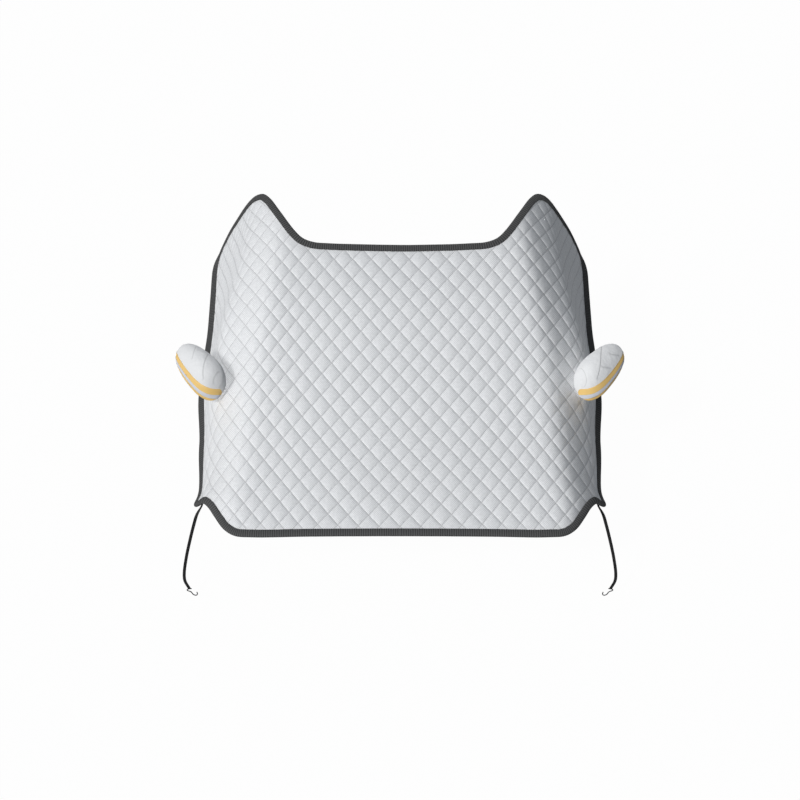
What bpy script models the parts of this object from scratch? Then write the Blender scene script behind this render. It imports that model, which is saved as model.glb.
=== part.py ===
"""Windshield frost cover: a quilted blanket with bound hem, two side-mirror pouches and two hooked straps.

The cover is shown in the shape it takes when fitted. X runs across, Y runs rearward, Z runs up, in metres.
The origin lies on the underside of the quilted panel, at the middle of the windscreen.
A place on the cloth is given as (across, along): distances on the cloth from its middle line and from the
line of the front hem.
"""
import math

import bmesh
import bpy
import numpy as np
from mathutils import Vector
from mathutils.geometry import delaunay_2d_cdt

# The shape of the laid cover along its middle line: places on the cloth and the slope there in degrees.
PROFILE_PLACES = (-0.10, 0.30, 0.65, 0.95, 1.30, 1.75)
PROFILE_SLOPES = (14.0, 16.9, 24.9, 26.2, 15.0, 6.0)
ORIGIN_PLACE = 0.655
CROWN = 0.043

# The side flaps: half width at the belt height, lean from upright in degrees, and the size of the fold.
BELT_HEIGHT = -0.241
SIDE_PLACES = (-0.50, -0.30, -0.05, 0.22, 0.60, 1.10)
SIDE_HALVES = (0.940, 0.9204, 0.9235, 0.943, 0.9284, 0.9398)
LEAN_PLACES = (-0.60, 0.20, 1.00)
LEANS = (12.2, 14.4, 23.2)
FOLD_PLACES = (-0.60, 1.00)
FOLD_REACHES = (0.288, 0.143)
LIP_PLACE = -0.42
LIP_LENGTH = 0.07
LIP_OUT = 0.03

# The hem of the side flaps turns outward over the door's shoulder: reach of the turn, and its size in degrees.
TURN_REACH = 0.056
TURN_PLACES = (0.27, 0.50, 0.75, 1.00, 1.30, 1.60, 1.78)
TURN_SIZES = (22.0, 58.0, 96.0, 96.0, 72.0, 45.0, 15.0)
SIDE_HEM_ACROSS = 1.0
SIDE_HEM_ALONG = (0.262, 1.64)

# The cut of the cloth, right half, from the front middle round to the rear middle.
HEM_POINTS = (
    (0.0, 0.003), (0.40, 0.003), (0.68, 0.003), (0.762, 0.012), (0.815, 0.046), (0.860, 0.105),
    (0.896, 0.155), (0.930, 0.180), (0.972, 0.178), (1.011, 0.192), (1.030, 0.224), (1.037, 0.27),
    (1.10, 0.50), (1.19, 0.79), (1.253, 1.08), (1.283, 1.40), (1.290, 1.64), (1.278, 1.705),
    (1.235, 1.748), (1.10, 1.775), (0.92, 1.766), (0.76, 1.746), (0.705, 1.742), (0.668, 1.732),
    (0.635, 1.700), (0.585, 1.622), (0.510, 1.508), (0.468, 1.463), (0.415, 1.440), (0.34, 1.432),
    (0.20, 1.425), (0.0, 1.421),
)

# The quilting: width and length of a diamond, the first crossing, and how the rows drift across the cloth.
DIAMOND_WIDTH = 0.0931
DIAMOND_LENGTH = 0.1038
FIRST_CROSSING = 0.1522
DRIFT_BOW = 0.072
DRIFT_TWIST = -0.062
DRIFT_CURL = -0.172
DRIFT_NARROW = -0.122
DRIFT_TAPER = -0.044

PANEL_THIN = 0.004
PANEL_PUFF = 0.012
EDGE_INSET = 0.004
STRIP_INSET = 0.040
ARM_CUT_MIDDLE = (0.902, 0.762)
ARM_CUT_RADII = (0.040, 0.048)

# The folded tape round the hem: (distance in from the hem, height over the underside of the panel).
BINDING_SECTION = (
    (0.0350, 0.0062), (0.0350, 0.0088), (0.0180, 0.0110), (0.0040, 0.0092), (-0.0010, 0.0050),
    (-0.0010, -0.0010), (0.0040, -0.0040), (0.0180, -0.0046), (0.0350, -0.0044), (0.0350, -0.0021),
    (0.0018, -0.0021), (0.0018, 0.0062),
)

# The mirror pouches: an egg form with its long axis swept back, slimmer at its outer end.
POUCH_MIDDLE = (0.9456, 0.140, 0.0467)
POUCH_RADII = (0.145, 0.0795, 0.129)
POUCH_SWEEP = 48.8
POUCH_TAPER = 0.169
POUCH_FULLNESS = 2.57
POUCH_TWIST = 3.5
POUCH_WALL = 0.004
POUCH_SEAT = 0.0106
SEAT_ACROSS = (0.60, 1.22)
SEAT_ALONG = (0.42, 1.10)
SEAT_PUSH = (0.20, 0.26)
POUCH_SIDES = 24
POUCH_RINGS = 16
POUCH_TURN = -32.0
TAPE_RINGS = (1.03, 15.03)
TAPE_SIDES = (1.03, 4.03)
STRIP_SIDES = (2.05, 3.05)
TAPE_THICK = 0.0010
TAPE_GAP = 0.0005

# The straps: flat elastic webbing from under each front corner down to a hook.
STRAP_WIDTH = 0.015
STRAP_THICK = 0.002
STRAP_START = ((0.950, 0.216, 0.0068), (0.953, 0.198, 0.0072), (0.956, 0.182, 0.0083))
STRAP_DROP = (
    (0.955, -0.438, -0.315), (0.975, -0.455, -0.380), (1.000, -0.485, -0.470), (1.026, -0.520, -0.575),
    (1.045, -0.550, -0.680), (1.046, -0.562, -0.730), (1.030, -0.572, -0.790),
)
HOOK_ROD = 0.0025
HOOK_LINE = (
    (-0.0100, 0.0000), (0.0070, 0.0000), (0.0135, -0.0025), (0.0155, -0.0085), (0.0115, -0.0145),
    (0.0050, -0.0205), (0.0010, -0.0290), (0.0000, -0.0420), (-0.0040, -0.0510), (-0.0085, -0.0550),
    (-0.0145, -0.0555), (-0.0200, -0.0515), (-0.0240, -0.0430), (-0.0250, -0.0340),
)


def eased(x, places, values):
    """Value at x, eased smoothly from each given place to the next."""
    x = np.asarray(x, float)
    places = np.asarray(places)
    values = np.asarray(values)
    i = np.clip(np.searchsorted(places, x) - 1, 0, len(places) - 2)
    t = np.clip((x - places[i]) / (places[i + 1] - places[i]), 0.0, 1.0)
    t = t * t * (3 - 2 * t)
    return values[i] * (1 - t) + values[i + 1] * t


# The middle line of the cover, worked out from its slopes.
LINE_STEP = 0.005
line_places = np.arange(-0.6, 2.6, LINE_STEP)
line_slopes = np.radians(eased(line_places, PROFILE_PLACES, PROFILE_SLOPES))
between = 0.5 * (line_slopes[1:] + line_slopes[:-1])
line_y = np.concatenate([[0], np.cumsum(np.cos(between) * LINE_STEP)])
line_z = np.concatenate([[0], np.cumsum(np.sin(between) * LINE_STEP)])
line_y -= np.interp(ORIGIN_PLACE, line_places, line_y)
line_z -= np.interp(ORIGIN_PLACE, line_places, line_z)


def field(points):
    """Rough distance of points outside the surface that the cover lies on."""
    x, y, z = points[..., 0], points[..., 1], points[..., 2]
    slope = np.interp(y, line_y, line_slopes)
    top = (z - np.interp(y, line_y, line_z) + CROWN * x * x) * np.cos(slope)
    lean = np.radians(eased(y, LEAN_PLACES, LEANS))
    half = eased(y, SIDE_PLACES, SIDE_HALVES) + LIP_OUT * np.exp(-((y - LIP_PLACE) / LIP_LENGTH) ** 2)
    side = (np.abs(x) - half + np.tan(lean) * (z - BELT_HEIGHT)) * np.cos(lean)
    reach = eased(y, FOLD_PLACES, FOLD_REACHES)
    near = np.clip(1 - np.abs(top - side) / reach, 0, None)
    return np.maximum(top, side) + reach * near ** 3 / 6


def outward(points):
    """Outward direction of the surface at the points, with the size of the field's slope."""
    small = 1e-4
    way = np.empty_like(points)
    for i in range(3):
        ahead = points.copy()
        behind = points.copy()
        ahead[..., i] += small
        behind[..., i] -= small
        way[..., i] = (field(ahead) - field(behind)) / (2 * small)
    return way


def unit(vectors):
    return vectors / np.linalg.norm(vectors, axis=-1, keepdims=True)


def seated(points, rounds):
    """The points moved onto the surface."""
    for _ in range(rounds):
        way = outward(points)
        points = points - way * (field(points) / (way * way).sum(-1))[..., None]
    return points


# Rows of cloth laid straight out from the middle line over the surface.
ACROSS_STEP = 0.01
ALONG_STEP = 0.02
along_places = np.arange(-0.10, 1.96, ALONG_STEP)


def laid_rows(reach=1.34):
    start = [0 * along_places, np.interp(along_places, line_places, line_y),
             np.interp(along_places, line_places, line_z)]
    points = seated(np.stack(start, -1), 5)
    rows = [points]
    way = np.tile([1.0, 0.0, 0.0], (len(along_places), 1))
    for _ in range(int(round(reach / ACROSS_STEP))):
        up = unit(outward(points))
        way = unit(way - up * (way * up).sum(-1, keepdims=True))
        points = seated(points + ACROSS_STEP * way, 1)
        rows.append(points)
    return np.stack(rows, 1)


laid = laid_rows()


def laid_point(across, along):
    """The point of the right half of the laid cloth at a place, before its hem is turned outward."""
    i = np.clip(across / ACROSS_STEP, 0, laid.shape[1] - 1.001)
    j = np.clip((along - along_places[0]) / ALONG_STEP, 0, len(along_places) - 1.001)
    a = i.astype(int)
    b = j.astype(int)
    s = (i - a)[..., None]
    t = (j - b)[..., None]
    points = laid[b, a] * (1 - s) * (1 - t) + laid[b, a + 1] * s * (1 - t)
    return points + laid[b + 1, a] * (1 - s) * t + laid[b + 1, a + 1] * s * t


def on_cover(across, along, height=0.0):
    """The point over a place on the cloth, at a height outside its underside."""
    across = np.asarray(across, float)
    along = np.asarray(along, float)
    hem = np.interp(along, side_hem[:, 1], side_hem[:, 0])
    past = np.clip(np.abs(across) - hem + TURN_REACH, 0, None)
    start = laid_point(np.abs(across) - past, along)
    way = laid_point(np.abs(across), along) - start
    way = way / np.maximum(np.linalg.norm(way, axis=-1, keepdims=True), 1e-9)
    up = unit(outward(start))
    turn = np.radians(eased(along, TURN_PLACES, TURN_SIZES)) * past / TURN_REACH
    down_way = past * np.sinc(turn / math.pi)
    out_way = past * np.sin(turn / 2) * np.sinc(turn / (2 * math.pi))
    cosine = np.cos(turn)[..., None]
    sine = np.sin(turn)[..., None]
    points = start + way * down_way[..., None] + up * out_way[..., None]
    points = points + (up * cosine - way * sine) * np.asarray(height, float)[..., None]
    points[..., 0] *= np.where(across < 0, -1, 1)
    return points


def fine_curve(points, mirrored_ends):
    """Many points on a smooth curve through the given ones."""
    p = np.array(points, float)
    if mirrored_ends:
        first = p[1] * np.array([-1.0, 1.0])
        last = p[-2] * np.array([-1.0, 1.0])
    else:
        first = 2 * p[0] - p[1]
        last = 2 * p[-1] - p[-2]
    p = np.vstack([first, p, last])
    found = []
    for a, b, c, d in zip(p[:-3], p[1:-2], p[2:-1], p[3:]):
        t1 = np.linalg.norm(b - a) ** 0.5
        t2 = t1 + np.linalg.norm(c - b) ** 0.5
        t3 = t2 + np.linalg.norm(d - c) ** 0.5
        for t in np.linspace(t1, t2, 24, endpoint=False):
            a1 = (t1 - t) / t1 * a + t / t1 * b
            a2 = (t2 - t) / (t2 - t1) * b + (t - t1) / (t2 - t1) * c
            a3 = (t3 - t) / (t3 - t2) * c + (t - t2) / (t3 - t2) * d
            b1 = (t2 - t) / t2 * a1 + t / t2 * a2
            b2 = (t3 - t) / (t3 - t1) * a2 + (t - t1) / (t3 - t1) * a3
            found.append((t2 - t) / (t2 - t1) * b1 + (t - t1) / (t2 - t1) * b2)
    found.append(p[-2])
    return np.array(found)


hem_line = fine_curve(HEM_POINTS, True)
on_side = (hem_line[:, 1] > SIDE_HEM_ALONG[0]) & (hem_line[:, 1] < SIDE_HEM_ALONG[1])
side_hem = hem_line[on_side & (hem_line[:, 0] > SIDE_HEM_ACROSS)]


def by_length(curve, lengths=None, count=None):
    """Points along a curve at the given lengths, or a number of them evenly spread."""
    run = np.concatenate([[0], np.cumsum(np.linalg.norm(np.diff(curve, axis=0), axis=1))])
    if lengths is None:
        lengths = np.linspace(0, run[-1], count)
    return np.stack([np.interp(lengths, run, curve[:, i]) for i in range(curve.shape[1])], 1)


SECTION_GAP = 0.048
CORNER_GAP = 0.013
CORNER_TURN = 0.34


def hem_stations():
    """Places of the sections round the whole hem and the inward direction at each, closer at corners."""
    half = hem_line
    run = np.concatenate([[0], np.cumsum(np.linalg.norm(np.diff(half, axis=0), axis=1))])
    even = np.linspace(0, run[-1], int(run[-1] / 0.002))
    path = by_length(half, even)
    way = unit(np.gradient(path, axis=0))
    way[0] = (1, 0)
    way[-1] = (-1, 0)
    heading = np.unwrap(np.arctan2(way[:, 1], way[:, 0]))
    bend = np.abs(np.gradient(heading, even))
    bend = np.convolve(np.pad(bend, 9, mode="edge"), np.ones(19) / 19, mode="valid")
    wanted = np.clip(bend / CORNER_TURN, 1 / SECTION_GAP, 1 / CORNER_GAP)
    total = np.concatenate([[0], np.cumsum(0.5 * (wanted[1:] + wanted[:-1]) * np.diff(even))])
    count = int(math.ceil(total[-1]))
    lengths = np.interp(np.linspace(0, total[-1], count + 1), total, even)
    places = by_length(half, lengths)
    inward = np.stack([np.interp(lengths, even, -way[:, 1]), np.interp(lengths, even, way[:, 0])], 1)
    places = np.vstack([places, places[-2:0:-1] * [-1, 1]])
    inward = np.vstack([inward, inward[-2:0:-1] * [-1, 1]])
    return places, unit(inward)


hem_places, hem_inward = hem_stations()


def inner_ring(depth):
    """The hem moved inwards, with the spacing kept open at tight corners."""
    ring = hem_places + depth * hem_inward
    step = np.roll(hem_places, -1, 0) - hem_places
    length = np.linalg.norm(step, axis=1)
    for _ in range(80):
        moved = ((np.roll(ring, -1, 0) - ring) * step).sum(1) / length
        tight = moved < 0.35 * length
        soft = (tight | np.roll(tight, 1)).astype(float)[:, None]
        if not tight.any():
            break
        ring = ring * (1 - 0.5 * soft) + 0.25 * soft * (np.roll(ring, -1, 0) + np.roll(ring, 1, 0))
    return ring


edge_ring = inner_ring(EDGE_INSET)
strip_ring = inner_ring(STRIP_INSET)


def material(name, colour, roughness, metallic=0.0):
    made = bpy.data.materials.new(name)
    made.use_nodes = True
    shader = made.node_tree.nodes["Principled BSDF"]
    shader.inputs["Base Color"].default_value = (*colour, 1.0)
    shader.inputs["Roughness"].default_value = roughness
    shader.inputs["Metallic"].default_value = metallic
    return made


def add_object(name, made, collection, look=None):
    mesh = bpy.data.meshes.new(name)
    made.normal_update()
    bmesh.ops.recalc_face_normals(made, faces=made.faces)
    made.to_mesh(mesh)
    made.free()
    obj = bpy.data.objects.new(name, mesh)
    collection.objects.link(obj)
    if look:
        mesh.materials.append(look)
    return obj


def sheet_of(columns, rows, place, wrap_columns=False, wrap_rows=False):
    """A grid of quads, each vertex put where place(column, row) says; wrapped ends are merged."""
    made = bmesh.new()
    bmesh.ops.create_grid(made, x_segments=columns, y_segments=rows, size=0.5)
    i = np.array([round((v.co.x + 0.5) * columns) for v in made.verts])
    j = np.array([round((v.co.y + 0.5) * rows) for v in made.verts])
    if wrap_columns:
        i = i % columns
    if wrap_rows:
        j = j % rows
    for vertex, point in zip(made.verts, place(i, j)):
        vertex.co = point
    if wrap_columns or wrap_rows:
        bmesh.ops.remove_doubles(made, verts=made.verts, dist=0.00001)
    return made


def inside(points, ring):
    """Which points lie inside a closed ring of places."""
    x = points[:, 0][:, None]
    y = points[:, 1][:, None]
    ax, ay = ring[:, 0], ring[:, 1]
    bx, by = np.roll(ax, -1), np.roll(ay, -1)
    crosses = (ay > y) != (by > y)
    at_x = ax + (y - ay) / np.where(by == ay, 1e-12, by - ay) * (bx - ax)
    return (crosses & (x < at_x)).sum(1) % 2 == 1


def depth_in(points, ring):
    """Distance of points from the ring, taken as less than nothing outside it."""
    a = ring
    b = np.roll(ring, -1, 0)
    side = b - a
    from_a = points[:, None] - a[None]
    t = np.clip((from_a * side).sum(-1) / (side * side).sum(-1), 0, 1)
    away = np.linalg.norm(from_a - t[..., None] * side, axis=-1).min(1)
    return np.where(inside(points, ring), away, -away)


def seam_place(i, k):
    """The place on the cloth of the crossing i across and k along."""
    u = np.asarray(i, float) * DIAMOND_WIDTH
    v = FIRST_CROSSING + np.asarray(k, float) * DIAMOND_LENGTH
    t = v - 0.8
    soft = np.abs(u) / (1 + (np.abs(u) / 0.85) ** 6) ** (1 / 6)
    across = u * (1 + DRIFT_NARROW * soft ** 2 + DRIFT_TAPER * t)
    along = v + DRIFT_BOW * soft ** 2 + DRIFT_TWIST * soft ** 2 * t + DRIFT_CURL * soft ** 4
    return np.stack([across, along], -1)


turns = np.linspace(0, 2 * math.pi, 12, endpoint=False)
cut_ring = np.stack([np.cos(turns) * ARM_CUT_RADII[0], np.sin(turns) * ARM_CUT_RADII[1]], 1)
cut_right = cut_ring + ARM_CUT_MIDDLE
cut_left = cut_ring * [-1, 1] + np.array(ARM_CUT_MIDDLE) * [-1, 1]


def clear_depth(points):
    """Depth inside the quilted field: inside the strip and outside both arm cut-outs."""
    free = depth_in(points, strip_ring)
    return np.minimum(free, np.minimum(-depth_in(points, cut_right), -depth_in(points, cut_left)))


def quilt_net():
    """Places and seam edges of the quilting, and the middle of each diamond."""
    places = []
    edges = []
    number = {}

    def add(place):
        places.append(place)
        return len(places) - 1

    across, along = np.meshgrid(np.arange(-32, 33), np.arange(-8, 44), indexing="ij")
    odd = (across + along) % 2 != 0
    half_steps = np.stack([across[~odd], along[~odd]], 1)
    spots = seam_place(half_steps[:, 0] / 2, half_steps[:, 1] / 2)
    depth = clear_depth(spots)
    for step, spot, deep in zip(half_steps, spots, depth):
        if deep > 0.012:
            number[tuple(step)] = add(spot)
    for step, spot in zip(half_steps, spots):
        for way in (1, -1):
            other = (step[0] + way, step[1] + 1)
            end = seam_place(other[0] / 2, other[1] / 2)
            first = number.get(tuple(step))
            second = number.get(other)
            line = spot + np.linspace(0, 1, 41)[:, None] * (end - spot)
            free = clear_depth(line) > 0.006
            if first is not None and second is not None:
                if free.all():
                    edges.append((first, second))
            elif first is not None and free[:12].all():
                stop = int(np.argmin(free))
                edges.append((first, add(line[stop - 1])))
            elif second is not None and free[-12:].all():
                stop = int(np.argmin(free[::-1]))
                edges.append((second, add(line[::-1][stop - 1])))
    puffs = []
    for i, k in half_steps:
        middle = seam_place(i / 2, (k + 1) / 2)
        if clear_depth(middle[None])[0] > 0.020:
            puffs.append(middle)
    return places, edges, puffs


def add_quilted_panel(look, collection):
    """Outer ring, strip ring, seams and diamond middles joined by triangles, then given its thickness."""
    places, edges, puffs = quilt_net()
    points = list(places)
    puff_from = len(points)
    points += puffs
    puff_to = len(points)
    for ring in (edge_ring, strip_ring, cut_right, cut_left):
        first = len(points)
        points += list(ring)
        size = len(ring)
        edges += [(first + n, first + (n + 1) % size) for n in range(size)]
    first_edge = puff_to
    count = len(edge_ring)
    edges += [(first_edge + n, first_edge + count + n) for n in range(count)]
    found, _, faces, sources, _, _ = delaunay_2d_cdt([tuple(map(float, p)) for p in points], edges, [], 0, 1e-7)
    flat = np.array([tuple(p) for p in found])
    triangles = np.array([tuple(f) for f in faces])
    middles = flat[triangles].mean(1)
    keep = inside(middles, edge_ring) & ~inside(middles, cut_right) & ~inside(middles, cut_left)
    made = bmesh.new()
    weight = made.verts.layers.deform.verify()
    spots = on_cover(flat[:, 0], flat[:, 1])
    verts = [made.verts.new(spot) for spot in spots]
    for triangle in triangles[keep]:
        made.faces.new([verts[n] for n in triangle])
    loose = [v for v in made.verts if not v.link_faces]
    thick = [any(puff_from <= n < puff_to for n in source) for source in sources]
    for vertex, puffed in zip(verts, thick):
        vertex[weight][0] = 1.0 if puffed else PANEL_THIN / PANEL_PUFF
    bmesh.ops.delete(made, geom=loose, context="VERTS")
    obj = add_object("quilted_panel", made, collection, look)
    obj.vertex_groups.new(name="thickness")
    if obj.data.polygons[0].normal.z < 0:
        obj.data.flip_normals()
    solid = obj.modifiers.new("thickness", "SOLIDIFY")
    solid.thickness = PANEL_PUFF
    solid.offset = 1.0
    solid.vertex_group = "thickness"
    return obj


def add_edge_binding(look, collection):
    """The folded tape, lofted round the hem on the same sections as the panel's edge."""
    outer = on_cover(edge_ring[:, 0], edge_ring[:, 1])
    inner = on_cover(strip_ring[:, 0], strip_ring[:, 1])
    outer_up = on_cover(edge_ring[:, 0], edge_ring[:, 1], np.ones(len(outer))) - outer
    inner_up = on_cover(strip_ring[:, 0], strip_ring[:, 1], np.ones(len(inner))) - inner
    inward = unit(inner - outer)
    section = np.array(BINDING_SECTION)

    def place(i, j):
        share = ((section[j, 0] - EDGE_INSET) / (STRIP_INSET - EDGE_INSET))[:, None]
        up = outer_up[i] * (1 - np.clip(share, 0, 1)) + inner_up[i] * np.clip(share, 0, 1)
        up = unit(up - inward[i] * (up * inward[i]).sum(-1, keepdims=True))
        return outer[i] * (1 - share) + inner[i] * share + up * section[j, 1][:, None]

    made = sheet_of(len(outer), len(section), place, wrap_columns=True, wrap_rows=True)
    return add_object("edge_binding", made, collection, look)


def pouch_frame(side):
    """Unit vectors of a pouch: along its axis, to its front and to its top."""
    sweep = math.radians(POUCH_SWEEP)
    axis = np.array([math.cos(sweep), math.sin(sweep), 0.0])
    front = np.array([math.sin(sweep), -math.cos(sweep), 0.0])
    top = np.array([0.0, 0.0, 1.0])
    flip = np.array([side, 1.0, 1.0])
    return axis * flip, front * flip, top * flip


def on_pouch(side, share, angle, height=0.0):
    """The point at a share of the axis (-1 to 1) and an angle round it, at a height over the pouch."""
    axis, front, top = pouch_frame(side)
    middle = np.array(POUCH_MIDDLE) * [side, 1, 1]
    share = np.asarray(share, float)
    angle = np.asarray(angle, float) + math.radians(POUCH_TWIST) * (1 + share) ** 2
    ring = np.clip(1 - np.abs(share) ** POUCH_FULLNESS, 0, 1) ** (1 / POUCH_FULLNESS)
    ring = ring * (1 - POUCH_TAPER * share)
    a = (POUCH_RADII[0] + height) * share
    b = (POUCH_RADII[1] + height) * ring * np.cos(angle)
    c = (POUCH_RADII[2] + height) * ring * np.sin(angle)
    return middle + a[..., None] * axis + b[..., None] * front + c[..., None] * top


def add_seat_cutter(side, collection):
    """A block with its top just over the quilting, which cuts the mouth of the pouch to sit on the panel."""
    columns, rows = 28, 28

    def place(i, j):
        across = SEAT_ACROSS[0] + (SEAT_ACROSS[1] - SEAT_ACROSS[0]) * i / columns
        along = SEAT_ALONG[0] + (SEAT_ALONG[1] - SEAT_ALONG[0]) * j / rows
        points = laid_point(across, along)
        return (points + unit(outward(points)) * POUCH_SEAT) * [side, 1, 1]

    made = sheet_of(columns, rows, place)
    pushed = bmesh.ops.extrude_face_region(made, geom=made.faces[:])
    for item in pushed["geom"]:
        if isinstance(item, bmesh.types.BMVert):
            item.co.x -= side * SEAT_PUSH[0]
            item.co.z -= SEAT_PUSH[1]
    cutter = add_object("seat_cutter_" + ("right" if side > 0 else "left"), made, collection)
    cutter.display_type = "WIRE"
    cutter.hide_render = True
    return cutter


def add_mirror_cover(side, look, collection, cutters):
    made = bmesh.new()
    bmesh.ops.create_uvsphere(made, u_segments=POUCH_SIDES, v_segments=POUCH_RINGS, radius=1.0)
    unit_points = np.array([tuple(v.co) for v in made.verts])
    share = np.clip(unit_points[:, 2], -1, 1)
    angle = np.arctan2(unit_points[:, 1], unit_points[:, 0]) + math.radians(POUCH_TURN)
    for vertex, point in zip(made.verts, on_pouch(side, share, angle)):
        vertex.co = point
    name = "mirror_cover_" + ("right" if side > 0 else "left")
    obj = add_object(name, made, collection, look)
    wall = obj.modifiers.new("wall", "SOLIDIFY")
    wall.thickness = POUCH_WALL
    wall.offset = -1.0
    cut = obj.modifiers.new("seat", "BOOLEAN")
    cut.operation = "DIFFERENCE"
    cut.solver = "EXACT"
    cut.object = add_seat_cutter(side, cutters)
    return obj


def add_band(name, side, sides, start, look, collection):
    """A strip of tape lying along the front of a pouch, on the same net as the pouch."""

    def place(i, j):
        share = -np.cos(math.pi * (TAPE_RINGS[0] + i) / POUCH_RINGS)
        angle = np.radians(POUCH_TURN + 360.0 * (sides[0] + j) / POUCH_SIDES)
        return on_pouch(side, share, angle, start)

    made = sheet_of(round(TAPE_RINGS[1] - TAPE_RINGS[0]), round(sides[1] - sides[0]), place)
    obj = add_object(name, made, collection, look)
    middle = obj.data.polygons[len(obj.data.polygons) // 2]
    if middle.normal.dot(middle.center - Vector(POUCH_MIDDLE) * Vector((side, 1, 1))) < 0:
        obj.data.flip_normals()
    solid = obj.modifiers.new("thickness", "SOLIDIFY")
    solid.thickness = TAPE_THICK
    solid.offset = 1.0
    return obj


def strap_line():
    """The middle line of the right strap, from under the corner down to the hook."""
    start = [on_cover(across, along, -depth) for across, along, depth in STRAP_START]
    curve = fine_curve(np.vstack([start, STRAP_DROP]), False)
    return by_length(curve, count=25)


def add_strap(side, look, collection):
    line = strap_line()
    way = unit(np.gradient(line, axis=0))
    turned = np.clip((np.arange(len(line)) - 5) / 8, 0, 1)[:, None]
    face = unit(outward(line)) * (1 - turned) + np.array([0.0, -1.0, 0.0]) * turned
    across = unit(np.cross(way, face))
    flip = np.array([side, 1.0, 1.0])

    def place(i, j):
        return (line[i] + across[i] * (j - 0.5)[:, None] * STRAP_WIDTH) * flip

    made = sheet_of(len(line) - 1, 1, place)
    obj = add_object("strap_" + ("right" if side > 0 else "left"), made, collection, look)
    solid = obj.modifiers.new("thickness", "SOLIDIFY")
    solid.thickness = STRAP_THICK
    solid.offset = 0.0
    return obj


def add_hook(side, look, collection):
    """A bent round rod with a bar for the strap's end."""
    line = strap_line()
    end = line[-1]
    way = unit(line[-1] - line[-2])
    wide = unit(np.cross([0.0, -1.0, 0.0], way))
    start = end + way * (HOOK_ROD + 0.0006)
    points = np.array([start + wide * a + way * -b for a, b in HOOK_LINE]) * [side, 1, 1]
    curve = bpy.data.curves.new("hook_" + ("right" if side > 0 else "left"), "CURVE")
    curve.dimensions = "3D"
    curve.bevel_depth = HOOK_ROD
    curve.bevel_resolution = 2
    curve.use_fill_caps = True
    spline = curve.splines.new("POLY")
    spline.points.add(len(points) - 1)
    for spot, point in zip(spline.points, points):
        spot.co = (*point, 1.0)
    obj = bpy.data.objects.new(curve.name, curve)
    curve.materials.append(look)
    collection.objects.link(obj)
    return obj


for old in list(bpy.data.objects):
    bpy.data.objects.remove(old, do_unlink=True)

cover = bpy.data.collections.new("windshield_frost_cover")
helpers = bpy.data.collections.new("cutters")
bpy.context.scene.collection.children.link(cover)
bpy.context.scene.collection.children.link(helpers)
helpers.hide_render = True

quilt = material("silver_quilted_cloth", (0.66, 0.67, 0.69), 0.55, 0.15)
binding = material("grey_binding_tape", (0.07, 0.07, 0.075), 0.75)
pouch_cloth = material("silver_pouch_cloth", (0.72, 0.72, 0.73), 0.55, 0.1)
yellow = material("yellow_reflective_tape", (0.75, 0.48, 0.12), 0.5)
silver = material("silver_reflective_tape", (0.70, 0.71, 0.74), 0.35, 0.3)
webbing = material("black_elastic_webbing", (0.012, 0.012, 0.013), 0.8)
hook_plastic = material("black_hook_plastic", (0.015, 0.015, 0.016), 0.45)

add_quilted_panel(quilt, cover)
add_edge_binding(binding, cover)
for side in (1, -1):
    hand = "right" if side > 0 else "left"
    add_mirror_cover(side, pouch_cloth, cover, helpers)
    add_band("reflective_tape_" + hand, side, TAPE_SIDES, TAPE_GAP, yellow, cover)
    add_band("silver_strip_" + hand, side, STRIP_SIDES, 2 * TAPE_GAP + TAPE_THICK, silver, cover)
    add_strap(side, webbing, cover)
    add_hook(side, hook_plastic, cover)
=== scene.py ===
"""Looks of the windshield frost cover: quilted cloth, bound hem, mirror pouches, straps and hooks.

Lengths are in metres. X runs across the cover, Y runs rearward, Z runs up, and the origin lies on
the underside of the quilted panel at the middle of the windscreen. A place on the cloth is
(across, along).
"""
import math

import bpy
import numpy as np
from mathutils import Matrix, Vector, noise


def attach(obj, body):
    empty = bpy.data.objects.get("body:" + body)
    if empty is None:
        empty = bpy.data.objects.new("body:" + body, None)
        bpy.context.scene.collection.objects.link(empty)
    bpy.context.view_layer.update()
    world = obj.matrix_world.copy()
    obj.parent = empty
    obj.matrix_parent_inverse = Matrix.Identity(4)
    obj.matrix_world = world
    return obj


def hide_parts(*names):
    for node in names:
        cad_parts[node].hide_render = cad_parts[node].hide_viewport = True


# The laid cover along its middle line: places on the cloth and the slope there in degrees.
PROFILE_PLACES = (-0.10, 0.30, 0.65, 0.95, 1.30, 1.75)
PROFILE_SLOPES = (14.0, 16.9, 24.9, 26.2, 15.0, 6.0)
ORIGIN_PLACE = 0.655
CROWN = 0.043
LINE_SPAN = (-0.6, 2.6)
LINE_STEP = 0.005

# The side flaps: half width at the belt height, lean from upright in degrees, size of the fold.
BELT_HEIGHT = -0.241
SIDE_PLACES = (-0.50, -0.30, -0.05, 0.22, 0.60, 1.10)
SIDE_HALVES = (0.940, 0.9204, 0.9235, 0.943, 0.9284, 0.9398)
LEAN_PLACES = (-0.60, 0.20, 1.00)
LEANS = (12.2, 14.4, 23.2)
FOLD_PLACES = (-0.60, 1.00)
FOLD_REACHES = (0.288, 0.143)
LIP_PLACE = -0.42
LIP_LENGTH = 0.07
LIP_OUT = 0.03

# The net of points that the cloth is laid on, and how far it reaches across and along.
LAID_REACH = 1.34
LAID_SPAN = (-0.10, 1.96)
ACROSS_STEP = 0.01
ALONG_STEP = 0.02
FIELD_STEP = 1e-4

# The hem of the side flaps turns outward: reach of the turn, and its size in degrees.
TURN_REACH = 0.056
TURN_PLACES = (0.27, 0.50, 0.75, 1.00, 1.30, 1.60, 1.78)
TURN_SIZES = (22.0, 58.0, 96.0, 96.0, 76.0, 62.0, 30.0)
SIDE_HEM_ACROSS = 1.0
SIDE_HEM_ALONG = (0.262, 1.64)

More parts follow.
